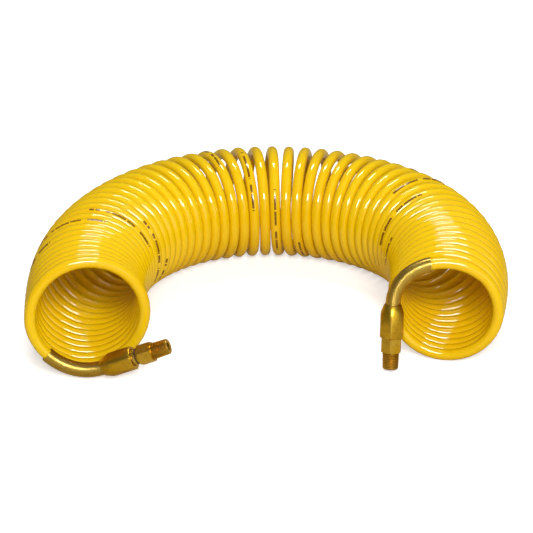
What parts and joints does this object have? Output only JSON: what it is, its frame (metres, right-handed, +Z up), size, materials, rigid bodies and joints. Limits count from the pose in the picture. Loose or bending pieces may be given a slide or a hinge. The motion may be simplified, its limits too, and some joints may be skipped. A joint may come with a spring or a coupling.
{
  "type": "coiled air hose",
  "caption": "Self-storing coiled nylon air hose resting in an arch, with a rigid and a swivelling brass pipe-thread fitting, each behind a spring guard.",
  "frame": {"origin": "centre of the hose's bounding box, on the floor it lies on", "axes": "+Z up, X across both open ends from the swivel end to the rigid end, the arch's crown towards +Y and both open ends towards -Y"},
  "size_m": [0.4088, 0.3313, 0.1053],
  "materials": {
    "hose": "glossy yellow extruded nylon",
    "spring": "brass-plated spring wire, satin",
    "brass": "machined, dulled",
    "seal": "black, matt",
    "washer": "dark brown, smooth",
    "clip": "spring steel"
  },
  "bodies": {
    "hose": {"hose_coil": "hose", "hose_tail_swivel": "hose", "hose_tail_rigid": "hose", "spring_guard_swivel": "spring", "spring_guard_rigid": "spring", "compression_nut_swivel": "brass", "compression_nut_rigid": "brass", "ferrule_swivel": "brass", "ferrule_rigid": "brass", "rigid_body": "brass", "swivel_stem": "brass", "o_ring_1": "seal", "o_ring_2": "seal", "thrust_washer": "washer", "retaining_clip": "clip"},
    "swivel": {"swivel_body": "brass"}
  },
  "joints": [
    {"name": "swivel_turn", "type": "hinge", "parent": "hose", "child": "swivel", "pos_m": [-0.10547, -0.1558, 0.02467], "axis": [0.9122, -0.1314, 0.388], "continuous": true}
  ]
}
